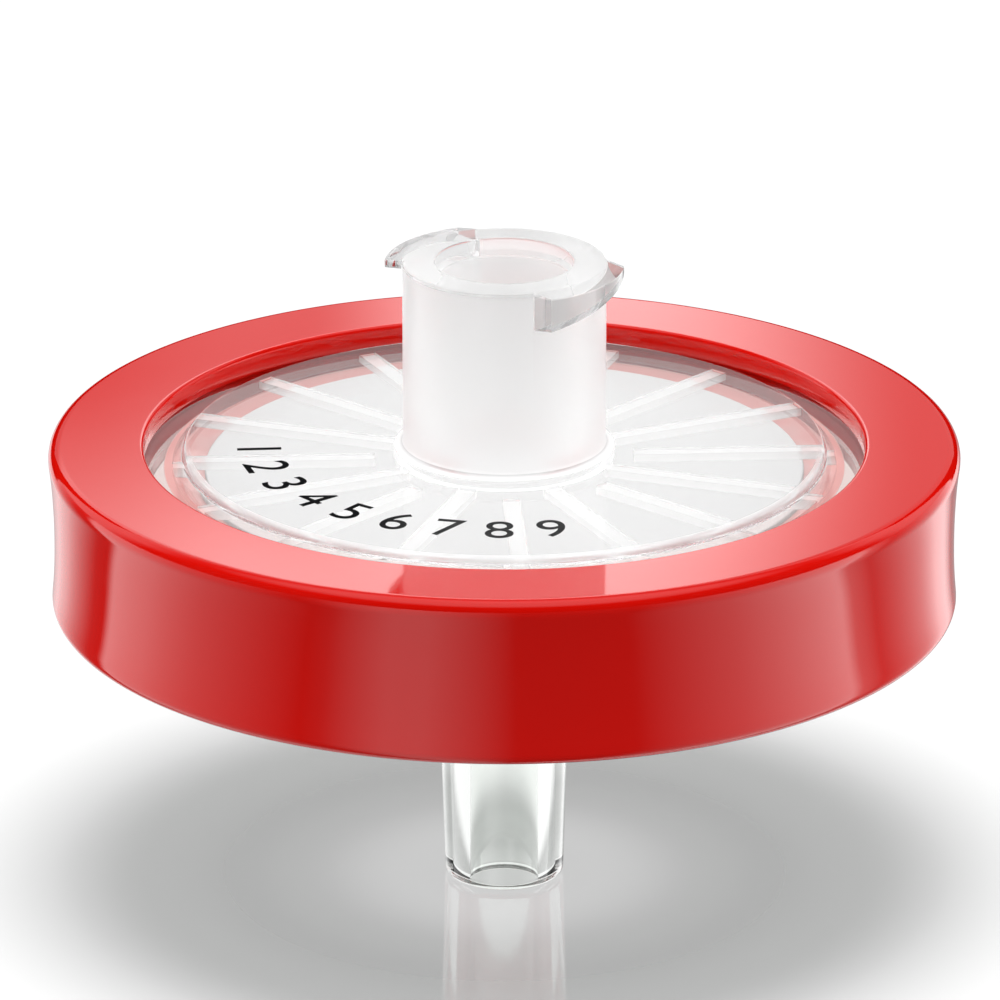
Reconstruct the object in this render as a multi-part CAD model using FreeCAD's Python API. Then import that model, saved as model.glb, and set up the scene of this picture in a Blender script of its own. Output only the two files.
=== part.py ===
import FreeCAD, Part
import math
import os

# Syringe filter: two clear mouldings with a filter disc between them, held by a ring moulded over their
# rims. Millimetres. The origin is the middle of the outlet's end face, and +Z runs up the flow axis.

# Heights
outlet_reach = 9.75          # outlet end face to the ring's underside
ring_height = 5.55
inlet_rise = 6.2             # ring's top face to the inlet's mouth

# Ring
ring_diameter = 30.0         # over the bead at its top edge
foot_diameter = 29.84        # at its lower edge
top_edge_radius = 0.52
foot_bevel = 0.28
hollow_radius = 24.0         # of the shallow hollow in the outer wall, between its two edges
window_diameter = 23.66      # clear opening inside the lips
upper_lip_thickness = 1.45   # ring's top face to the housings' rims
lower_lip_thickness = 1.3    # housings' rims to the ring's underside
lip_bevel = 0.14
rim_diameter = 26.4          # housings' rims inside the ring

# Window plate of the inlet housing
window_drop = 0.42           # ring's top face to the outer land of the plate
plateau_rise = 0.27          # raised middle of the plate over that land
plateau_diameter = 21.1
plateau_bevel = 0.2
plate_thickness = 1.2
chamber_diameter = 21.7
chamber_gap = 0.35           # plate's underside to the disc

# Ribs under the window plate
rib_count = 16
rib_width = 0.59
rib_clearance = 0.05         # rib to the disc
long_rib_start = 3.5         # radius where every other rib begins
short_rib_start = 4.24
rib_turn = 3.0               # degrees from +X to the first short rib

# Filter disc
disc_diameter = 19.66
disc_thickness = 0.2

# Inlet: female lock fitting
taper = 0.06                 # change of diameter with length, both fittings
lead_in_diameter = 4.56      # parallel land at the mouth
lead_in_depth = 0.4
socket_diameter = 4.3        # top of the socket's taper
socket_start = 0.55          # mouth to the top of the taper
barrel_diameter = 6.66
barrel_edge_bevel = 0.07
barrel_foot_bevel = 0.15

# Ears of the inlet: two starts of a right-hand thread
ear_span = 7.83              # across both ears
ear_width = 4.06             # across one ear, along the barrel's side
ear_turn = -36.0             # degrees from +X to the middle of the first ear
ear_depth = 1.22             # at its thick end
ear_top_fall = 0.1           # ear's top face, from the barrel out to its crest
thread_lead = 5.0
ear_root = 0.45              # how deep an ear is rooted in the barrel's wall

# Outlet housing
drain_diameter = 18.4
drain_depth = 0.4
floor_thickness = 1.1
well_diameter = 21.2         # hollow of the underside
land_rise = 0.45             # ring's underside to the rim around that hollow
funnel_diameter = 4.2
funnel_depth = 0.6
support_count = 20           # support ribs, every other one short
support_width = 0.5
support_short_start = 4.6

# Outlet: male slip fitting
tip_diameter = 3.93          # at the end face
taper_length = 9.0
tip_bevel = 0.18
outlet_bore = 2.15
collar_diameter = 6.4
collar_depth = 1.0

# Levels
ring_top = outlet_reach + ring_height
mouth_level = ring_top + inlet_rise
land_level = ring_top - window_drop
plate_top = land_level + plateau_rise
ceiling = plate_top - plate_thickness
disc_top = ceiling - chamber_gap
parting = disc_top - disc_thickness
upper_rim = ring_top - upper_lip_thickness
lower_rim = outlet_reach + lower_lip_thickness
drain_floor = parting - drain_depth
well_ceiling = drain_floor - floor_thickness

# Radii
ring_radius = ring_diameter / 2
window_radius = window_diameter / 2
rim_radius = rim_diameter / 2
barrel_radius = barrel_diameter / 2


def point(r, z):
    return FreeCAD.Vector(r, 0, z)


def towards(start, end, distance):
    return start + (end - start).normalize() * distance


# Shorter arc between two points at one distance from its centre.
def arc_about(centre, start, end):
    half_way = (start - centre) + (end - centre)
    return Part.Arc(start, centre + half_way.normalize() * (start - centre).Length, end).toShape()


# The outer of the two points that lie at the given distances from two others.
def outer_meeting(first, first_distance, second, second_distance):
    apart = (second - first).Length
    along = (first_distance ** 2 - second_distance ** 2 + apart ** 2) / (2 * apart)
    out = math.sqrt(first_distance ** 2 - along ** 2)
    direction = (second - first).normalize()
    return first + direction * along + point(-direction.z, direction.x) * out


# Closed outline through a list of (radius, level, bevel). A bevel is cut equally far along both sides.
def bevelled_outline(corners):
    path = []
    for i, (r, z, bevel) in enumerate(corners):
        corner = point(r, z)
        if bevel == 0:
            path.append(corner)
            continue
        path.append(towards(corner, point(*corners[i - 1][:2]), bevel))
        path.append(towards(corner, point(*corners[(i + 1) % len(corners)][:2]), bevel))
    return Part.makePolygon(path + path[:1]).Edges


def turned(edges):
    face = Part.Face(Part.Wire(Part.__sortEdges__(edges)))
    return face.revolve(FreeCAD.Vector(0, 0, 0), FreeCAD.Vector(0, 0, 1), 360)


# Straight bar along +X from one radius to another, turned about the axis.
def radial_bar(start, end, width, bottom, top, angle):
    bar = Part.makeBox(end - start, width, top - bottom, FreeCAD.Vector(start, -width / 2, bottom))
    bar.rotate(FreeCAD.Vector(0, 0, 0), FreeCAD.Vector(0, 0, 1), angle)
    return bar


# Ribs all round, every other one starting further out.
def rib_set(count, starts, end, width, bottom, top, turn):
    ribs = []
    for i in range(count):
        start = starts[i % 2]
        ribs.append(radial_bar(start, end, width, bottom, top, turn + i * 360 / count))
    return ribs


# One ear: a length of thread, trimmed to a bar across the barrel and to the crest, its top face falling
# outwards. Its underside climbs with the thread, so the ear is deepest where a collar first meets it.
def inlet_ear(angle):
    crest = ear_span / 2
    root = barrel_radius - ear_root
    reach = math.degrees(math.asin(ear_width / 2 / root))
    depth_at_start = ear_depth + thread_lead * (reach - math.degrees(math.asin(ear_width / 2 / crest))) / 360
    helix = Part.makeHelix(thread_lead, thread_lead * 2 * reach / 360, root)
    section = Part.makePolygon([
        point(root, 0),
        point(crest * 1.1, 0),
        point(crest * 1.1, 2 * ear_depth),
        point(root, 2 * ear_depth),
        point(root, 0),
    ])
    thread = Part.Wire(helix.Edges).makePipeShell([section], True, True)
    thread.rotate(FreeCAD.Vector(0, 0, 0), FreeCAD.Vector(0, 0, 1), -reach)
    thread.translate(FreeCAD.Vector(0, 0, mouth_level - depth_at_start))
    bar = radial_bar(0, ear_span, ear_width, mouth_level - 3 * ear_depth, mouth_level, 0)
    envelope = turned(bevelled_outline([
        (0, mouth_level - 3 * ear_depth, 0),
        (crest, mouth_level - 3 * ear_depth, 0),
        (crest, mouth_level - ear_top_fall, 0),
        (barrel_radius, mouth_level, 0),
        (0, mouth_level, 0),
    ]))
    ear = thread.common(bar).common(envelope)
    ear.rotate(FreeCAD.Vector(0, 0, 0), FreeCAD.Vector(0, 0, 1), angle)
    return ear


# Top moulding: window plate with its rim, the inlet barrel with its tapered bore, ears and ribs.
def inlet_housing():
    lead_in_radius = lead_in_diameter / 2
    socket_top = mouth_level - socket_start
    socket_foot = socket_diameter / 2 - taper / 2 * (socket_top - ceiling)
    plateau_radius = plateau_diameter / 2
    body = turned(bevelled_outline([
        (socket_foot, ceiling, 0),
        (socket_diameter / 2, socket_top, 0),
        (lead_in_radius, mouth_level - lead_in_depth, 0),
        (lead_in_radius, mouth_level, 0),
        (barrel_radius, mouth_level, barrel_edge_bevel),
        (barrel_radius, plate_top, barrel_foot_bevel),
        (plateau_radius, plate_top, plateau_bevel),
        (plateau_radius, land_level, 0),
        (window_radius, land_level, 0),
        (window_radius, upper_rim, 0),
        (rim_radius, upper_rim, 0),
        (rim_radius, parting, 0),
        (chamber_diameter / 2, parting, 0),
        (chamber_diameter / 2, ceiling, 0),
    ]))
    ribs = rib_set(
        rib_count,
        (short_rib_start, long_rib_start),
        chamber_diameter / 2 + rib_width / 2,
        rib_width,
        disc_top + rib_clearance,
        ceiling + plate_thickness / 2,
        rib_turn,
    )
    ears = [inlet_ear(ear_turn), inlet_ear(ear_turn + 180)]
    return body.multiFuse(ribs + ears).removeSplitter()


def membrane():
    return Part.makeCylinder(disc_diameter / 2, disc_thickness, FreeCAD.Vector(0, 0, parting))


# Bottom moulding: dished plate with its rim, support ribs in the drain, collar and tapered outlet.
def outlet_housing():
    tip_radius = tip_diameter / 2
    stem_radius = tip_radius + taper / 2 * taper_length
    bore_radius = outlet_bore / 2
    body = turned(bevelled_outline([
        (bore_radius, 0, 0),
        (tip_radius, 0, tip_bevel),
        (stem_radius, taper_length, 0),
        (stem_radius, well_ceiling - collar_depth, 0),
        (collar_diameter / 2, well_ceiling, 0),
        (well_diameter / 2, well_ceiling, 0),
        (well_diameter / 2, outlet_reach + land_rise, 0),
        (window_radius, outlet_reach + land_rise, 0),
        (window_radius, lower_rim, 0),
        (rim_radius, lower_rim, 0),
        (rim_radius, parting, 0),
        (drain_diameter / 2, parting, 0),
        (drain_diameter / 2, drain_floor, 0),
        (funnel_diameter / 2, drain_floor, 0),
        (bore_radius, drain_floor - funnel_depth, 0),
    ]))
    supports = rib_set(
        support_count,
        (funnel_diameter / 2, support_short_start),
        drain_diameter / 2 + support_width / 2,
        support_width,
        drain_floor - floor_thickness / 2,
        parting,
        rib_turn,
    )
    return body.multiFuse(supports).removeSplitter()


# Ring moulded over both rims: a channel section with two lips. The shallow hollow in its outer wall runs
# tangent into the bead at the top edge.
def seal_ring():
    top_centre = point(ring_radius - top_edge_radius, ring_top - top_edge_radius)
    foot_edge = point(foot_diameter / 2, outlet_reach + foot_bevel)
    hollow_centre = outer_meeting(top_centre, top_edge_radius + hollow_radius, foot_edge, hollow_radius)
    top_start = top_centre + point(0, top_edge_radius)
    top_end = towards(top_centre, hollow_centre, top_edge_radius)
    channel = Part.makePolygon([
        foot_edge,
        foot_edge - point(foot_bevel, foot_bevel),
        point(window_radius, outlet_reach),
        point(window_radius, lower_rim),
        point(rim_radius, lower_rim),
        point(rim_radius, upper_rim),
        point(window_radius, upper_rim),
        point(window_radius, ring_top - lip_bevel),
        point(window_radius + lip_bevel, ring_top),
        top_start,
    ])
    return turned(channel.Edges + [
        arc_about(top_centre, top_start, top_end),
        arc_about(hollow_centre, top_end, foot_edge),
    ])


os.makedirs("parts", exist_ok=True)
for piece in (inlet_housing, membrane, outlet_housing, seal_ring):
    shape = piece()
    shape.exportStep(f"parts/{piece.__name__}.step")
    print(piece.__name__, shape.isValid(), len(shape.Solids), round(shape.Volume, 2))
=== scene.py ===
import math
import bpy
import bmesh
from mathutils import Matrix, Vector


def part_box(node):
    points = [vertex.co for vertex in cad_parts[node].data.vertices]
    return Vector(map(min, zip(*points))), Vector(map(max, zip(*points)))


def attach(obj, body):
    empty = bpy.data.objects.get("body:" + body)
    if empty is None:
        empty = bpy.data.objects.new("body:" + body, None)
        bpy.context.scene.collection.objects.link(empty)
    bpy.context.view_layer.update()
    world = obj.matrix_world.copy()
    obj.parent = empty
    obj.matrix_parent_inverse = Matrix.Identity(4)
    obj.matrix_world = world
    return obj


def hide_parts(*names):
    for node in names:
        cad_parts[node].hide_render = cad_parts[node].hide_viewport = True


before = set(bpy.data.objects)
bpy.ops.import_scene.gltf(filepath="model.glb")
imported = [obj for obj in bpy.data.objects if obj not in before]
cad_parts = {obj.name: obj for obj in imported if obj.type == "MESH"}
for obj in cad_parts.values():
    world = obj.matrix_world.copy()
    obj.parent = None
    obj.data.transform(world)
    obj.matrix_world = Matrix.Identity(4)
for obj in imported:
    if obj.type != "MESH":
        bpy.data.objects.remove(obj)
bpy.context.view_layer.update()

ringLow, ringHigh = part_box("seal_ring")
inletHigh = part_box("inlet_housing")[1]
discLow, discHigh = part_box("membrane")
outletLow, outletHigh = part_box("outlet_housing")

ringTop = ringHigh.z
ringFoot = ringLow.z
mouth = inletHigh.z
parting = outletHigh.z      # where the two housings meet
endFace = outletLow.z
rimRadius = inletHigh.x

turn = {
    "steps": 256,         # round a full turn
    "sharpAngle": 32,     # degrees, above which an edge shades hard
    "weld": 0.0000005,    # points closer than this become one
    "hair": 0.00001,      # moulded-on faces sink this far into the clear plastic, so that no air shows between
    "edgeRound": 0.00008,    # small round on a step's edge
    # rounding above which an edge gets so many segments
    "segments": [(0.001, 14), (0.0003, 8), (0, 4)],
}


# Mesh helpers

def finishedMesh(bm, name, material, smooth=True):
    bmesh.ops.remove_doubles(bm, verts=bm.verts, dist=turn["weld"])
    bmesh.ops.recalc_face_normals(bm, faces=bm.faces)
    mesh = bpy.data.meshes.new(name)
    bm.to_mesh(mesh)
    bm.free()
    obj = bpy.data.objects.new(name, mesh)
    bpy.context.scene.collection.objects.link(obj)
    mesh.materials.append(material)
    smoothShaded(obj, smooth)
    return obj


def smoothShaded(obj, smooth=True):
    for poly in obj.data.polygons:
        poly.use_smooth = smooth
    if smooth:
        obj.data.set_sharp_from_angle(angle=math.radians(turn["sharpAngle"]))
        flats = obj.modifiers.new("flats", "WEIGHTED_NORMAL")
        flats.mode = "FACE_AREA"      # wide flats stay flat beside their small rounds
        flats.weight = 100
        flats.keep_sharp = True


def roundSegments(rounding):
    return next(count for limit, count in turn["segments"] if rounding > limit)


# Closed section of (radius, height, rounding) corners, in order. Each rounding is the length cut off both sides.
def sectionRing(bm, corners):
    verts = [bm.verts.new((r, 0, z)) for r, z, rounding in corners]
    bm.faces.new(verts)
    for vert, (r, z, rounding) in zip(verts, corners):
        if rounding > 0:
            bmesh.ops.bevel(bm, geom=[vert], offset=rounding, offset_type="OFFSET",
                            segments=roundSegments(rounding), profile=0.5, affect="VERTICES", material=-1)
    bmesh.ops.delete(bm, geom=bm.faces[:], context="FACES_ONLY")


def turned(name, corners, material):
    bm = bmesh.new()
    sectionRing(bm, corners)
    bmesh.ops.spin(bm, geom=bm.verts[:] + bm.edges[:], cent=(0, 0, 0), axis=(0, 0, 1),
                   angle=math.tau, steps=turn["steps"], use_merge=True)
    return finishedMesh(bm, name, material)


# Rounded bars along the radius, every other one starting further out.
def radialBars(name, count, starts, end, width, low, high, edge, firstAngle, material):
    bm = bmesh.new()
    for i in range(count):
        start = starts[i % 2]
        place = (Matrix.Rotation(math.radians(firstAngle + i * 360 / count), 4, "Z")
                 @ Matrix.Translation(((start + end) / 2, 0, (low + high) / 2))
                 @ Matrix.Diagonal((end - start, width, high - low, 1)))
        bar = bmesh.ops.create_cube(bm, size=1, matrix=place)["verts"]
        edges = list(dict.fromkeys(e for v in bar for e in v.link_edges))      # each once, in a fixed order
        bmesh.ops.bevel(bm, geom=edges, offset=edge, offset_type="OFFSET", segments=3,
                        profile=0.5, affect="EDGES", material=-1)
    return finishedMesh(bm, name, material)


# One solid from several that cross, with no wall left inside.
def united(main, others):
    for piece in [main] + others:
        piece.modifiers.clear()
    for other in others:
        step = main.modifiers.new("unite", "BOOLEAN")
        step.operation = "UNION"
        step.solver = "EXACT"
        step.object = other
    graph = bpy.context.evaluated_depsgraph_get()
    mesh = bpy.data.meshes.new_from_object(main.evaluated_get(graph), depsgraph=graph)
    main.modifiers.clear()
    main.data = mesh
    for other in others:
        bpy.data.objects.remove(other)
    smoothShaded(main)
    return main


# Node helpers

noiseSpan = (0.3, 0.7)      # the part of a noise's range that its values really fill


def newMaterial(name):
    material = bpy.data.materials.new(name)
    material.use_nodes = True
    tree = material.node_tree
    return material, tree, tree.nodes["Principled BSDF"]


# Each value is a plain number or colour, or another node's output.
def fill(tree, sockets, values):
    for socket, value in zip(sockets, values):
        if isinstance(value, bpy.types.NodeSocket):
            tree.links.new(value, socket)
        else:
            socket.default_value = value


def mathNode(tree, operation, *values):
    node = tree.nodes.new("ShaderNodeMath")
    node.operation = operation
    fill(tree, node.inputs, values)
    return node.outputs[0]


def product(tree, first, *others):
    for other in others:
        first = mathNode(tree, "MULTIPLY", first, other)
    return first


# Blend of two numbers, or of two colours.
def mixed(tree, factor, a, b, colors=False):
    node = tree.nodes.new("ShaderNodeMix")
    node.data_type = "RGBA" if colors else "FLOAT"
    first = 6 if colors else 2      # this node has its own pair of sockets for each kind of value
    fill(tree, (node.inputs[0], node.inputs[first], node.inputs[first + 1]), (factor, a, b))
    return node.outputs[2 if colors else 0]


def mixedShaders(tree, factor, a, b):
    node = tree.nodes.new("ShaderNodeMixShader")
    fill(tree, node.inputs, (factor, a, b))
    return node.outputs[0]


def toSurface(tree, shader):
    tree.links.new(shader, tree.nodes["Material Output"].inputs["Surface"])


def colored(tree, kind, color):
    node = tree.nodes.new(kind)
    node.inputs["Color"].default_value = color
    return node.outputs[0]


def ranged(tree, value, fromMin, fromMax, toMin, toMax, smooth=False):
    node = tree.nodes.new("ShaderNodeMapRange")
    node.interpolation_type = "SMOOTHSTEP" if smooth else "LINEAR"
    fill(tree, node.inputs, (value, fromMin, fromMax, toMin, toMax))
    return node.outputs["Result"]


def rising(tree, value, low, high):
    return ranged(tree, value, low, high, 0, 1, True)


def falling(tree, value, low, high):
    return ranged(tree, value, low, high, 1, 0, True)


# 1 between two values and 0 outside them, with soft ends.
def between(tree, value, low, high, soft):
    return product(tree, rising(tree, value, low, low + soft), falling(tree, value, high - soft, high))


def objectPoint(tree):
    return tree.nodes.new("ShaderNodeTexCoord").outputs["Object"]


def axes(tree, point):
    node = tree.nodes.new("ShaderNodeSeparateXYZ")
    tree.links.new(point, node.inputs[0])
    return node.outputs


# Distance from the vertical axis.
def radiusOf(tree, point):
    across = tree.nodes.new("ShaderNodeVectorMath")
    across.operation = "MULTIPLY"
    fill(tree, across.inputs, (point, (1, 1, 0)))
    length = tree.nodes.new("ShaderNodeVectorMath")
    length.operation = "LENGTH"
    tree.links.new(across.outputs["Vector"], length.inputs[0])
    return length.outputs["Value"]


def noise(tree, point, scale, detail=4, roughness=0.5):
    node = tree.nodes.new("ShaderNodeTexNoise")
    node.inputs["Scale"].default_value = scale
    node.inputs["Detail"].default_value = detail
    node.inputs["Roughness"].default_value = roughness
    tree.links.new(point, node.inputs["Vector"])
    return node.outputs["Fac"]


def bumped(tree, height, strength, distance, shader):
    node = tree.nodes.new("ShaderNodeBump")
    node.inputs["Strength"].default_value = strength
    node.inputs["Distance"].default_value = distance
    tree.links.new(height, node.inputs["Height"])
    tree.links.new(node.outputs["Normal"], shader.inputs["Normal"])


# Light from the lamps goes straight through a thin or clear wall, and so can light that the pieces scatter.
def lightThrough(tree, shader, tint, scattered=True):
    path = tree.nodes.new("ShaderNodeLightPath")
    which = path.outputs["Is Shadow Ray"]
    if scattered:
        which = mathNode(tree, "MAXIMUM", which, path.outputs["Is Diffuse Ray"])
    clear = colored(tree, "ShaderNodeBsdfTransparent", tint)
    toSurface(tree, mixedShaders(tree, which, shader.outputs[0], clear))


# Seal ring

redPlastic = {
    "color": (0.77, 0.005, 0.002, 1),
    "bounce": (0.42, 0.36, 0.35, 1),    # what its scattered light throws on the white parts beside it
    "roughness": (0.045, 0.075),
    "ior": 1.5,
    "ripple": 900,         # per metre, the faint waviness of the moulded surface
    "rippleStrength": 0.25,
    "rippleDepth": 0.000002,
}


def makeRed():
    material, tree, shader = newMaterial("moulded_red")
    shader.inputs["Base Color"].default_value = redPlastic["color"]
    shader.inputs["IOR"].default_value = redPlastic["ior"]
    bounce = colored(tree, "ShaderNodeBsdfDiffuse", redPlastic["bounce"])
    scattered = tree.nodes.new("ShaderNodeLightPath").outputs["Is Diffuse Ray"]
    toSurface(tree, mixedShaders(tree, scattered, shader.outputs[0], bounce))
    waves = noise(tree, objectPoint(tree), redPlastic["ripple"], 2)
    tree.links.new(ranged(tree, waves, *noiseSpan, *redPlastic["roughness"]), shader.inputs["Roughness"])
    bumped(tree, waves, redPlastic["rippleStrength"], redPlastic["rippleDepth"], shader)
    return material


ring = {
    "topOut": 0.00003,        # the top corner stands this far out before it is rounded
    "topRound": 0.00052,
    "waistDepth": 0.00034,    # how far the middle corner of the outer wall lies inside the top edge
    "waistRound": 0.0022,
    "footInset": 0.00006,
    "footRound": 0.00036,
    "lipRadius": 0.01183,
    "lipRound": 0.00015,
    "upperLip": 0.00145,
    "lowerLip": 0.0013,
}


def makeRing():
    outer = ringHigh.x
    hair = turn["hair"]
    return turned("seal_ring_moulding", [
        (outer + ring["topOut"], ringTop, ring["topRound"]),
        (outer - ring["waistDepth"], (ringTop + ringFoot) / 2, ring["waistRound"]),
        (outer - ring["footInset"], ringFoot, ring["footRound"]),
        (ring["lipRadius"], ringFoot, ring["lipRound"]),
        (ring["lipRadius"], ringFoot + ring["lowerLip"] + hair, 0),
        (rimRadius - hair, ringFoot + ring["lowerLip"] + hair, 0),
        (rimRadius - hair, ringTop - ring["upperLip"] - hair, 0),
        (ring["lipRadius"], ringTop - ring["upperLip"] - hair, 0),
        (ring["lipRadius"], ringTop, ring["lipRound"]),
    ], makeRed())


# Inlet housing: the window plate with its ribs, and the barrel with its ears

inlet = {
    "landDrop": 0.00042,      # below the ring's top
    "plateauRise": 0.00027,
    "plateauRadius": 0.01055,
    "plateauRound": 0.00014,
    "plateThickness": 0.0012,
    "chamberRadius": 0.01085,
    "leadInRadius": 0.00228,
    "leadInDepth": 0.0004,
    "leadInRound": 0.00006,
    "socketRadius": 0.00215,
    "socketStart": 0.00055,
    "socketFootRadius": 0.00194,
    "barrelRadius": 0.00333,
    "barrelEdge": 0.0001,
    "barrelFoot": 0.00025,
    "ribs": 16,
    "ribWidth": 0.00059,
    "ribStarts": (0.00424, 0.0035),
    "ribTurn": 3,             # degrees
    "ribEdge": 0.00005,
    "ribClearance": 0.00005,
    "earRadius": 0.003915,
    "earWidth": 0.00406,
    "earTurn": -36,           # degrees
    "earDepth": 0.00122,
    "earFall": 0.0001,
    "earRoot": 0.0029,
    "earSteps": 48,
    "threadLead": 0.005,
}
landLevel = ringTop - inlet["landDrop"]
plateTop = landLevel + inlet["plateauRise"]
ceiling = plateTop - inlet["plateThickness"]

clearPlastic = {
    "color": (0.99, 0.99, 0.99, 1),
    "earShadeColor": (0.5, 0.5, 0.5, 1),     # painted shade on the sides of the ears
    "boreShade": 0.2,                   # share of that painted shade in the bore
    "landRedReflection": (1.0, 0.82, 0.8, 1),   # outer land, painted with a reflection of the red round it
    "passes": (0.97, 0.97, 0.97, 1),    # share of the light that goes through one surface
    "ior": 1.49,
    "roughness": (0.0, 0.03),
    "grain": 1600,
    "milkyRoughness": 0.34,
    "milkyClear": (0.15, 0.8),    # share of light that the cloudy plastic lets through, at its foot and mouth
    "frostClear": 0.42,           # and the frosted ribs
    "edgeShare": 0.35,            # share that the window's edge scatters
    "footShare": 0.6,             # and the round at the barrel's foot, and the bore
    "leastClear": 0.2,            # no surface lets less through
    # where each zone starts and is full, in metres
    "cloudStart": (0.00003, 0.0002),       # above the plate
    "wallDepth": (-0.0002, -0.0001),       # out from the barrel's radius, its frosted outer wall
    "wallEnd": (0.00002, 0.00004),         # and where the ears leave it
    "topStart": (-0.00016, -0.00011),      # up from the mouth, its clear top face
    "footBand": (-0.0001, 0.00035, 0.0001),       # out from the barrel's radius, and how soft the ends are
    "footHeight": (0.0003, 0.0005),               # above the plate
    "edgeBand": (-0.00028, 0.00005, 0.00006),     # out from the plateau's radius
    "edgeHeight": (0.00003, 0.00006),             # above the land
    "edgeFront": (-0.003, 0.001),          # Y, over which the edge's cloudiness ends towards the back
    "leadInFront": (-0.0022, 0.0018),      # and the lead-in's
    "coneDepth": 0.0001,                   # below the socket's start
    "boreEnd": (0.00002, 0.00004),         # out from the lead-in's radius
    "ribTop": (-0.00002, -0.00003),        # up from the ceiling
    "ribEnd": (-0.00003, -0.00004),        # out from the chamber's radius
    "redReflectionStart": (0.00005, 0.0002),        # out from the plateau's radius
}


# The ends of one of those zones, measured from a place on the part.
def zone(name, origin):
    return [origin + offset for offset in clearPlastic[name][:2]]


def makeInletPlastic():
    material, tree, shader = newMaterial("clear_to_milky")
    point = objectPoint(tree)
    shader.inputs["IOR"].default_value = clearPlastic["ior"]
    along = axes(tree, point)
    forward, height = along["Y"], along["Z"]
    radius = radiusOf(tree, point)
    barrelRadius, plateauRadius = inlet["barrelRadius"], inlet["plateauRadius"]
    # the barrel is cloudy, and its outer wall frosted
    cloud = rising(tree, height, *zone("cloudStart", plateTop))
    outside = rising(tree, radius, *zone("wallDepth", barrelRadius))
    within = falling(tree, radius, *zone("wallEnd", barrelRadius))
    belowTop = falling(tree, height, *zone("topStart", mouth))
    wall = product(tree, cloud, belowTop, outside, within)
    # so are the round at the barrel's foot and the near edge of the raised window
    foot = product(tree, between(tree, radius, *zone("footBand", barrelRadius), clearPlastic["footBand"][2]),
                   falling(tree, height, *zone("footHeight", plateTop)))
    edge = product(tree, ranged(tree, height, *zone("edgeHeight", landLevel), 0, 1),
                   between(tree, radius, *zone("edgeBand", plateauRadius), clearPlastic["edgeBand"][2]),
                   falling(tree, forward, *clearPlastic["edgeFront"]))
    soft = mathNode(tree, "MAXIMUM", foot, edge)
    # the bore too, apart from the far side of its lead-in
    socketTop = mouth - inlet["socketStart"]
    belowCone = ranged(tree, height, socketTop - clearPlastic["coneDepth"], socketTop, 1, 0)
    near = falling(tree, forward, *clearPlastic["leadInFront"])
    bore = product(tree, cloud, belowTop, mathNode(tree, "MAXIMUM", belowCone, near),
                   ranged(tree, radius, *zone("boreEnd", inlet["leadInRadius"]), 1, 0))
    grain = noise(tree, point, clearPlastic["grain"], 3)
    fine = ranged(tree, grain, *noiseSpan, *clearPlastic["roughness"])
    rough = mixed(tree, mathNode(tree, "MAXIMUM", wall, soft), fine, clearPlastic["milkyRoughness"])
    tree.links.new(rough, shader.inputs["Roughness"])
    # painted shade: the ears' sides are grey and the bore a little; and the outer land has a painted reflection
    # of the red round it
    ear = product(tree, cloud, belowTop, mathNode(tree, "SUBTRACT", 1.0, within))
    shade = mathNode(tree, "MAXIMUM", ear, product(tree, bore, clearPlastic["boreShade"]))
    tint = mixed(tree, shade, clearPlastic["color"], clearPlastic["earShadeColor"], True)
    # painted reflection of the red ring on the outer land
    land = rising(tree, radius, *zone("redReflectionStart", plateauRadius))
    tree.links.new(mixed(tree, land, tint, clearPlastic["landRedReflection"], True), shader.inputs["Base Color"])
    # how clear it is: the barrel clears towards its mouth, and the ribs are frosted
    milk = ranged(tree, height, plateTop, mouth, *clearPlastic["milkyClear"])
    clear = mathNode(tree, "MULTIPLY_ADD", product(tree, cloud, within),
                     mathNode(tree, "SUBTRACT", milk, 1.0), 1.0)
    ribbed = product(tree, ranged(tree, height, *zone("ribTop", ceiling), 0, 1),
                     ranged(tree, radius, *zone("ribEnd", inlet["chamberRadius"]), 0, 1))
    frosted = mixed(tree, ribbed, clear, clearPlastic["frostClear"])
    faint = mathNode(tree, "ADD", product(tree, edge, clearPlastic["edgeShare"]),
                     product(tree, mathNode(tree, "MAXIMUM", foot, bore), clearPlastic["footShare"]))
    left = mathNode(tree, "MAXIMUM", mathNode(tree, "SUBTRACT", frosted, faint), clearPlastic["leastClear"])
    tree.links.new(left, shader.inputs["Transmission Weight"])
    lightThrough(tree, shader, clearPlastic["passes"])
    return material


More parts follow.
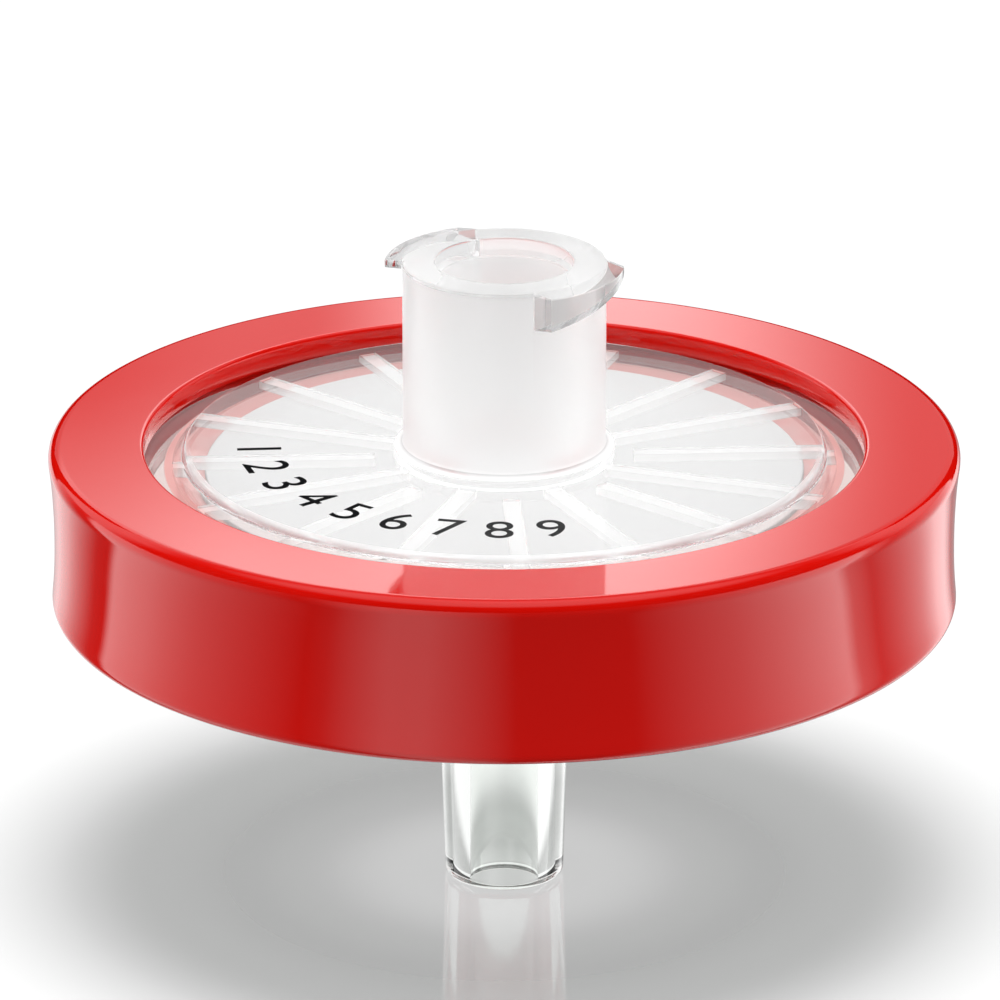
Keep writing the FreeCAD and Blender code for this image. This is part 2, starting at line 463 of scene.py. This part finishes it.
# A short length of thread: a flat-topped collar piece whose underside climbs with the lead.
def makeEar(angle, material):
    reach = math.asin(inlet["earWidth"] / 2 / inlet["earRoot"])
    crestReach = math.asin(inlet["earWidth"] / 2 / inlet["earRadius"])
    climb = inlet["threadLead"] / math.tau
    depth = inlet["earDepth"]
    bm = bmesh.new()
    corners = [(inlet["earRoot"], 0), (inlet["earRadius"], 0), (inlet["earRadius"], depth - inlet["earFall"]),
               (inlet["barrelRadius"], depth), (inlet["earRoot"], depth)]
    face = bm.faces.new([bm.verts.new((r, 0, mouth - depth + z)) for r, z in corners])
    bmesh.ops.rotate(bm, verts=bm.verts, cent=(0, 0, 0), matrix=Matrix.Rotation(-reach, 3, "Z"))
    bmesh.ops.spin(bm, geom=[face], cent=(0, 0, 0), axis=(0, 0, 1), angle=2 * reach, steps=inlet["earSteps"])
    for vert in bm.verts:
        if vert.co.z < mouth - depth + turn["hair"]:
            vert.co.z += climb * (math.atan2(vert.co.y, vert.co.x) + crestReach)
    bmesh.ops.recalc_face_normals(bm, faces=bm.faces)
    for side in (-1, 1):
        cut = bmesh.ops.bisect_plane(bm, geom=bm.verts[:] + bm.edges[:] + bm.faces[:], clear_outer=True,
                                     plane_co=(0, side * inlet["earWidth"] / 2, 0), plane_no=(0, side, 0))
        rim = [e for e in cut["geom_cut"] if isinstance(e, bmesh.types.BMEdge)]
        bmesh.ops.contextual_create(bm, geom=rim)
    bmesh.ops.rotate(bm, verts=bm.verts, cent=(0, 0, 0), matrix=Matrix.Rotation(math.radians(angle), 3, "Z"))
    return finishedMesh(bm, "ear", material)


def makeInlet():
    plastic = makeInletPlastic()
    hair = turn["hair"]
    body = turned("inlet_moulding", [
        (inlet["socketFootRadius"], ceiling, 0),
        (inlet["socketRadius"], mouth - inlet["socketStart"], 0),
        (inlet["leadInRadius"], mouth - inlet["leadInDepth"], 0),
        (inlet["leadInRadius"], mouth, inlet["leadInRound"]),
        (inlet["barrelRadius"], mouth, inlet["barrelEdge"]),
        (inlet["barrelRadius"], plateTop, inlet["barrelFoot"]),
        (inlet["plateauRadius"], plateTop, inlet["plateauRound"]),
        (inlet["plateauRadius"], landLevel, turn["edgeRound"]),
        (ring["lipRadius"] + hair, landLevel, 0),
        (ring["lipRadius"] + hair, ringTop - ring["upperLip"], 0),
        (rimRadius, ringTop - ring["upperLip"], 0),
        (rimRadius, parting - hair, 0),
        (inlet["chamberRadius"], parting - hair, 0),
        (inlet["chamberRadius"], ceiling, 0),
    ], plastic)
    ribs = radialBars("ribs", inlet["ribs"], inlet["ribStarts"], inlet["chamberRadius"] + inlet["ribWidth"] / 2,
                      inlet["ribWidth"], discHigh.z + inlet["ribClearance"],
                      ceiling + inlet["plateThickness"] / 2, inlet["ribEdge"], inlet["ribTurn"], plastic)
    ears = [makeEar(inlet["earTurn"] + side, plastic) for side in (0, 180)]
    return united(body, [ribs] + ears)


# Filter disc

filterFilm = {
    "color": (0.93, 0.93, 0.93, 1),
    "poreShade": 0.96,     # of that colour, in the pores
    "passes": (0.4, 0.4, 0.4, 1),
    "roughness": 0.7,
    "pores": 9000,
    "poreStrength": 0.3,
    "poreDepth": 0.000004,
    "lowerRound": 0.00004,
    "upperRound": 0.00006,
}


def makeFilm():
    material, tree, shader = newMaterial("filter_film")
    pores = noise(tree, objectPoint(tree), filterFilm["pores"], 5, 0.6)
    dark = tuple(c * filterFilm["poreShade"] for c in filterFilm["color"][:3]) + (1,)
    speckle = mixed(tree, ranged(tree, pores, *noiseSpan, 0, 1), dark, filterFilm["color"], True)
    tree.links.new(speckle, shader.inputs["Base Color"])
    shader.inputs["Roughness"].default_value = filterFilm["roughness"]
    bumped(tree, pores, filterFilm["poreStrength"], filterFilm["poreDepth"], shader)
    lightThrough(tree, shader, filterFilm["passes"], False)
    return material


def makeDisc():
    return turned("filter_disc", [
        (0, discLow.z + turn["hair"], 0),
        (discHigh.x, discLow.z + turn["hair"], filterFilm["lowerRound"]),
        (discHigh.x, discHigh.z, filterFilm["upperRound"]),
        (0, discHigh.z, 0),
    ], makeFilm())


# Outlet housing: dished plate with its supports, collar and tapered outlet

outlet = {
    "drainRadius": 0.0092,
    "drainDepth": 0.0004,
    "floorThickness": 0.0011,
    "wellRadius": 0.0106,
    "wellRound": 0.00035,
    "landRise": 0.00045,
    "funnelRadius": 0.0021,
    "funnelDepth": 0.0006,
    "supports": 20,
    "supportWidth": 0.0005,
    "supportStarts": (0.0021, 0.0046),
    "supportEdge": 0.00004,
    "tipRadius": 0.001965,
    "stemRadius": 0.002235,
    "taperLength": 0.009,
    "tipRound": 0.0002,
    "boreRadius": 0.001075,
    "boreRound": 0.00008,
    "collarRadius": 0.0032,
    "collarDepth": 0.001,
    "collarRound": 0.0003,
}

outletPlastic = {
    "color": (0.945, 0.965, 0.947, 1),
    "passes": (0.95, 0.96, 0.95, 1),
    "ior": 1.49,
    "roughness": (0.0, 0.025),
    "grain": 1500,
    "rimRedReflection": (1.0, 0.47, 0.44, 1),   # the face beside the disc, with a painted reflection of the red under it
    "rimClear": 0.2,                    # and how clear it is
    "rimBand": (-0.0001, 0.0003, 0.00005),     # out from the disc, out from the chamber, how soft the ends are
    "rimHeight": (-0.00002, -0.00001),         # up from the parting
}


def makeOutletPlastic():
    material, tree, shader = newMaterial("clear_outlet")
    point = objectPoint(tree)
    shader.inputs["IOR"].default_value = outletPlastic["ior"]
    inner, outer, soft = outletPlastic["rimBand"]
    low, high = outletPlastic["rimHeight"]
    # the face beside the disc gets a painted reflection of the red under it, and lets less light through
    rim = product(tree, ranged(tree, axes(tree, point)["Z"], parting + low, parting + high, 0, 1),
                  between(tree, radiusOf(tree, point), discHigh.x + inner, inlet["chamberRadius"] + outer, soft))
    tree.links.new(mixed(tree, rim, outletPlastic["color"], outletPlastic["rimRedReflection"], True),
                   shader.inputs["Base Color"])
    tree.links.new(mixed(tree, rim, 1.0, outletPlastic["rimClear"]), shader.inputs["Transmission Weight"])
    grain = noise(tree, point, outletPlastic["grain"], 3)
    tree.links.new(ranged(tree, grain, *noiseSpan, *outletPlastic["roughness"]), shader.inputs["Roughness"])
    lightThrough(tree, shader, outletPlastic["passes"])
    return material


def makeOutlet():
    plastic = makeOutletPlastic()
    hair = turn["hair"]
    drainFloor = parting - outlet["drainDepth"]
    wellCeiling = drainFloor - outlet["floorThickness"]
    body = turned("outlet_moulding", [
        (outlet["boreRadius"], endFace, outlet["boreRound"]),
        (outlet["tipRadius"], endFace, outlet["tipRound"]),
        (outlet["stemRadius"], endFace + outlet["taperLength"], 0),
        (outlet["stemRadius"], wellCeiling - outlet["collarDepth"], outlet["collarRound"]),
        (outlet["collarRadius"], wellCeiling, outlet["collarRound"]),
        (outlet["wellRadius"], wellCeiling, outlet["wellRound"]),
        (outlet["wellRadius"], ringFoot + outlet["landRise"], turn["edgeRound"]),
        (ring["lipRadius"] + hair, ringFoot + outlet["landRise"], 0),
        (ring["lipRadius"] + hair, ringFoot + ring["lowerLip"], 0),
        (rimRadius, ringFoot + ring["lowerLip"], 0),
        (rimRadius, parting, 0),
        (outlet["drainRadius"], parting, 0),
        (outlet["drainRadius"], drainFloor, 0),
        (outlet["funnelRadius"], drainFloor, 0),
        (outlet["boreRadius"], drainFloor - outlet["funnelDepth"], 0),
    ], plastic)
    supports = radialBars("supports", outlet["supports"], outlet["supportStarts"],
                          outlet["drainRadius"] + outlet["supportWidth"] / 2, outlet["supportWidth"],
                          drainFloor - outlet["floorThickness"] / 2, parting - hair,
                          outlet["supportEdge"], inlet["ribTurn"], plastic)
    return united(body, [supports])


# Plain numbers printed round the plate

printInk = {
    "color": (0.006, 0.006, 0.007, 1),
    "roughness": (0.35, 0.5),
    "gloss": 0.1,
    "speckle": 14000,
}


def makeInk():
    material, tree, shader = newMaterial("print_ink")
    shader.inputs["Base Color"].default_value = printInk["color"]
    shader.inputs["Specular IOR Level"].default_value = printInk["gloss"]
    speckle = noise(tree, objectPoint(tree), printInk["speckle"], 3)
    tree.links.new(ranged(tree, speckle, *noiseSpan, *printInk["roughness"]), shader.inputs["Roughness"])
    return material


scale = {
    "numbers": 9,
    "firstAngle": 184,        # degrees from +X
    "lastAngle": 281,
    "radius": 0.0080,         # to the middle of the numbers
    "height": 0.00155,
    "digitShare": 0.73,       # a digit's height as a share of the font's size
    "film": 0.000004,         # half the thickness of the print
}


def makeScale():
    ink = makeInk()
    bm = bmesh.new()
    step = (scale["lastAngle"] - scale["firstAngle"]) / (scale["numbers"] - 1)
    for i in range(scale["numbers"]):
        text = bpy.data.curves.new("number", "FONT")
        text.body = str(i + 1)
        text.size = scale["height"] / scale["digitShare"]
        text.align_x = "CENTER"
        text.extrude = scale["film"]
        holder = bpy.data.objects.new("number", text)
        bpy.context.scene.collection.objects.link(holder)
        graph = bpy.context.evaluated_depsgraph_get()
        mesh = bpy.data.meshes.new_from_object(holder.evaluated_get(graph))
        bpy.data.objects.remove(holder)
        upright = Matrix.Rotation(math.radians(scale["firstAngle"] + step * i + 90), 4, "Z")
        down = -scale["radius"] - scale["height"] / 2
        mesh.transform(upright @ Matrix.Translation((0, down, plateTop + 2 * scale["film"])))
        bm.from_mesh(mesh)
    return finishedMesh(bm, "number_scale", ink, False)


# Stage, light and camera

studio = {
    "floorSize": 2.0,
    "floorColor": (0.15, 0.15, 0.15, 1),
    "floorRoughness": 0.6,
    "floorBounce": (0.055, 0.055, 0.055, 1),   # its colour in the light it throws back
    "paintedFloorLight": (0.54, 0.27),     # share of the floor painted with glow in the shadow, in its middle and outside: painted light, brighter in the middle
    "glowEnd": (0.003, 0.0095),    # and where that changes
    "polish": 0.4,           # how much of a mirror it is close to the filter
    "polishTilt": 3.5,       # degrees the mirror leans back, to show the outlet and not the ring over it
    "polishEnd": (0.008, 0.015),   # and how far out that fades
    "polishRoughness": 0.06,
    # the light that the pieces get
    "skyLow": 0.1,            # all round
    "skySides": 2.3,          # more at the left and right
    "skyTop": 2.4,            # soft lamp overhead
    "skyTopPower": 10,
    # what they mirror: soft panels round the studio, each a bearing from the camera's side and a brightness
    "panels": [(-172, 0.6), (-160, 1.3), (-150, 1.2), (-130, 0.1), (-123, 0.05), (-120, 1.9), (-104, 1.7),
               (-85, 0.95), (-52, 0.08), (-46, 0.2), (-30, 1.3), (-20, 1.3), (3, 0.09), (33, 0.09),
               (62, 1.2), (97, 3.2), (101, 1.1), (110, 0.3), (134, 1.2), (145, 2.0), (153, 1.8), (162, 0.4)],
    "panelTop": 8,            # degrees above the horizon, where the panels end
    "panelFade": 0.08,        # this and the next are heights on a sphere of radius 1
    "overhead": 1.2,
    "overheadStart": (0.75, 0.95),
    "middle": 1.0,            # and the wall behind the filter, over the panels
    "middleFade": 0.1,
    "middleEnd": (0.6, 0.8),
    "behindStart": (0.2, 0.5),
}


def makeFloor():
    bm = bmesh.new()
    bmesh.ops.create_grid(bm, x_segments=1, y_segments=1, size=studio["floorSize"])
    material, tree, shader = newMaterial("studio_floor")
    shader.inputs["Base Color"].default_value = studio["floorColor"]
    shader.inputs["Roughness"].default_value = studio["floorRoughness"]
    shader.inputs["Specular IOR Level"].default_value = 0
    path = tree.nodes.new("ShaderNodeLightPath")
    seen = mathNode(tree, "MAXIMUM", path.outputs["Is Camera Ray"], path.outputs["Is Transmission Ray"])
    bounce = colored(tree, "ShaderNodeBsdfDiffuse", studio["floorBounce"])
    plain = mixedShaders(tree, seen, bounce, shader.outputs[0])
    # a faint mirror close to the filter
    mirror = tree.nodes.new("ShaderNodeBsdfGlossy")
    mirror.inputs["Roughness"].default_value = studio["polishRoughness"]
    tilt = math.radians(studio["polishTilt"])
    lean = tree.nodes.new("ShaderNodeCombineXYZ")
    fill(tree, lean.inputs, (0, math.sin(tilt), math.cos(tilt)))
    tree.links.new(lean.outputs[0], mirror.inputs["Normal"])
    out = radiusOf(tree, objectPoint(tree))
    polish = ranged(tree, out, *studio["polishEnd"], studio["polish"], 0, True)
    polished = mixedShaders(tree, product(tree, polish, path.outputs["Is Camera Ray"]), plain, mirror.outputs[0])
    # white glow painted on the floor, stronger in the middle of the object's shadow: painted light
    glow = tree.nodes.new("ShaderNodeEmission")
    lit = product(tree, seen, ranged(tree, out, *studio["glowEnd"], *studio["paintedFloorLight"], True))
    toSurface(tree, mixedShaders(tree, lit, polished, glow.outputs[0]))
    floor = finishedMesh(bm, "studio_floor", material, False)
    floor.visible_glossy = False
    return floor


def makeWorld():
    world = bpy.data.worlds.new("studio")
    bpy.context.scene.world = world
    world.use_nodes = True
    tree = world.node_tree
    background = tree.nodes["Background"]
    background.inputs["Color"].default_value = (1, 1, 1, 1)
    x, y, z = axes(tree, tree.nodes.new("ShaderNodeTexCoord").outputs["Generated"])
    # dim all round, brighter at the sides, with a soft lamp overhead
    up = mathNode(tree, "POWER", mathNode(tree, "MAXIMUM", z, 0.0), studio["skyTopPower"])
    sides = mathNode(tree, "MULTIPLY_ADD", product(tree, x, x), studio["skySides"], studio["skyLow"])
    sky = mathNode(tree, "MULTIPLY_ADD", up, studio["skyTop"], sides)
    # panels by bearing
    bearing = mathNode(tree, "ARCTAN2", x, product(tree, y, -1.0))
    ramp = tree.nodes.new("ShaderNodeValToRGB")
    tree.links.new(mathNode(tree, "MULTIPLY_ADD", bearing, 1 / math.tau, 0.5), ramp.inputs["Fac"])
    peak = max(level for place, level in studio["panels"])
    stops = ramp.color_ramp.elements
    while len(stops) > 1:
        stops.remove(stops[-1])
    for i, (place, level) in enumerate(studio["panels"]):
        stop = stops[0] if i == 0 else stops.new((place + 180) / 360)
        stop.position = (place + 180) / 360
        stop.color = (level / peak, level / peak, level / peak, 1)
    top = math.sin(math.radians(studio["panelTop"]))
    panels = product(tree, ramp.outputs["Color"], peak, falling(tree, z, top, top + studio["panelFade"]))
    high = ranged(tree, z, *studio["overheadStart"], 0, studio["overhead"], True)
    behind = product(tree, ranged(tree, z, top, top + studio["middleFade"], 0, studio["middle"], True),
                     falling(tree, z, *studio["middleEnd"]), rising(tree, y, *studio["behindStart"]))
    mirrored = mathNode(tree, "ADD", panels, mathNode(tree, "ADD", behind, high))
    # plain white straight on and through the clear pieces
    path = tree.nodes.new("ShaderNodeLightPath")
    through = mathNode(tree, "MAXIMUM", path.outputs["Is Camera Ray"], path.outputs["Is Transmission Ray"])
    level = mixed(tree, path.outputs["Is Glossy Ray"], sky, mirrored)
    tree.links.new(mixed(tree, through, level, 1.0), background.inputs["Strength"])


ringCard = {
    "distance": 0.06,         # behind the filter
    "width": 0.08,
    "foot": 0.028,            # above the floor
    "height": 0.042,
    "level": 2.6,
    # shares of that level, and the X or Z over which they change
    "right": (0.004, 0.017, 1, 0.19),
    "leftStart": (0.0, -0.008, 0, 1),
    "leftRise": (0.034, 0.044, 0.25, 0.88),
    "leftFade": (-0.010, -0.018, 1, 0.6),
}
clearCard = {
    "distance": 0.0605,
    "width": 0.12,
    "foot": 0.01,
    "height": 0.064,
    "level": 0.8,
}


# Upright glowing card that only the pieces in its own collection mirror.
def makeCard(name, card):
    bm = bmesh.new()
    place = (Matrix.Translation((0, card["distance"], card["foot"] + card["height"] / 2))
             @ Matrix.Rotation(math.radians(90), 4, "X")
             @ Matrix.Diagonal((card["width"] / 2, card["height"] / 2, 1, 1)))
    bmesh.ops.create_grid(bm, x_segments=1, y_segments=1, size=1, matrix=place)
    material, tree, shader = newMaterial(name)
    glow = tree.nodes.new("ShaderNodeEmission")
    glow.inputs["Strength"].default_value = card["level"]
    toSurface(tree, glow.outputs[0])
    obj = finishedMesh(bm, name, material, False)
    obj.visible_camera = False
    obj.visible_diffuse = False
    obj.visible_transmission = False
    obj.visible_shadow = False
    mirrors = bpy.data.collections.new(name + "_mirrors")
    obj.light_linking.receiver_collection = mirrors
    return tree, glow, mirrors


def makeRingCard():
    tree, glow, mirrors = makeCard("ring_card", ringCard)
    along = axes(tree, objectPoint(tree))
    x, z = along["X"], along["Z"]
    right = ranged(tree, x, *ringCard["right"], True)
    left = product(tree, ranged(tree, z, *ringCard["leftRise"], True),
                   ranged(tree, x, *ringCard["leftFade"], True))
    share = mixed(tree, ranged(tree, x, *ringCard["leftStart"], True), right, left)
    tree.links.new(product(tree, share, ringCard["level"]), glow.inputs["Strength"])
    both = tree.nodes.new("ShaderNodeAddShader")      # what lies behind it shows too
    clear = tree.nodes.new("ShaderNodeBsdfTransparent")
    fill(tree, both.inputs, (glow.outputs[0], clear.outputs[0]))
    toSurface(tree, both.outputs[0])
    return mirrors


# Plain one behind it, for the clear pieces. It hides what lies behind from the ring.
def makeClearCard():
    return makeCard("clear_card", clearCard)[2]


frontLamp = {
    "place": (0.02, -0.22, 0.16),
    "size": 0.16,
    "power": 0.215,           # watts
}


# Soft lamp that reaches the clear mouldings alone. It brings out the cloudy barrel, the frosted ribs and the
# painted red reflection on the face beside the disc.
def makeFrontLamp():
    light = bpy.data.lights.new("front_lamp", "AREA")
    light.shape = "DISK"
    light.size = frontLamp["size"]
    light.energy = frontLamp["power"]
    lamp = bpy.data.objects.new("front_lamp", light)
    bpy.context.scene.collection.objects.link(lamp)
    place = Vector(frontLamp["place"])
    look = (Vector((0, 0, mouth)) - place).to_track_quat("-Z", "Y").to_matrix().to_4x4()
    lamp.matrix_world = Matrix.Translation(place) @ look
    lamp.visible_camera = False
    lamp.visible_glossy = False
    lamp.visible_transmission = False
    lit = bpy.data.collections.new("lit_by_front_lamp")
    lamp.light_linking.receiver_collection = lit
    return lit


floorLamp = {
    "angle": 34,              # degrees across, which sets how soft the shadow's edge is
    "strength": 19.6,
}


# Soft light from overhead that reaches the floor alone.
def makeFloorLamp(floor):
    light = bpy.data.lights.new("floor_lamp", "SUN")
    light.angle = math.radians(floorLamp["angle"])
    light.energy = floorLamp["strength"]
    lamp = bpy.data.objects.new("floor_lamp", light)
    bpy.context.scene.collection.objects.link(lamp)
    lamp.visible_glossy = False
    lit = bpy.data.collections.new("lit_by_floor_lamp")
    lit.objects.link(floor)
    lamp.light_linking.receiver_collection = lit


camera = {
    "distance": 0.2969,       # from the middle of the ring's top
    "elevation": 20.155,      # degrees
    "lens": 325.66,           # millimetres
    "sensor": 36,
    "nearest": 0.01,
    "aim": (-0.000141, -0.000691, 0.013418),
}


def makeCamera():
    lens = bpy.data.cameras.new("camera")
    lens.sensor_width = camera["sensor"]
    lens.lens = camera["lens"]
    lens.clip_start = camera["nearest"]
    holder = bpy.data.objects.new("camera", lens)
    bpy.context.scene.collection.objects.link(holder)
    rise = math.radians(camera["elevation"])
    place = Vector((0, -math.cos(rise), math.sin(rise))) * camera["distance"] + Vector((0, 0, ringTop))
    look = (Vector(camera["aim"]) - place).to_track_quat("-Z", "Y").to_matrix().to_4x4()
    holder.matrix_world = Matrix.Translation(place) @ look
    bpy.context.scene.camera = holder


makeCamera()
print("camera placed")
makeWorld()
makeFloorLamp(makeFloor())
ringMirrors = makeRingCard()
clearMirrors = makeClearCard()
frontLit = makeFrontLamp()
print("stage and light set")

for make, node, slot in (
        (makeRing, "seal_ring", "ring_red"),
        (makeInlet, "inlet_housing", "inlet_clear"),
        (makeDisc, "membrane", "membrane_white"),
        (makeOutlet, "outlet_housing", "outlet_clear")):
    piece = make()
    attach(piece, "root")
    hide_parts(node)
    (ringMirrors if node == "seal_ring" else clearMirrors).objects.link(piece)
    if node in ("inlet_housing", "outlet_housing"):
        frontLit.objects.link(piece)
    print(piece.name, "made,", len(piece.data.polygons), "faces")

numbers = makeScale()
numbers.visible_shadow = False      # a film this thin leaves no shadow on the disc, and no image in the plate
numbers.visible_diffuse = False
numbers.visible_glossy = False
numbers.visible_transmission = False
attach(numbers, "root")
print("numbers printed")

paths = bpy.context.scene.cycles     # clear walls behind clear walls need long light paths
paths.max_bounces = 24
paths.glossy_bounces = 16
paths.transmission_bounces = 24
paths.transparent_max_bounces = 32

bpy.context.scene.view_settings.view_transform = "Standard"
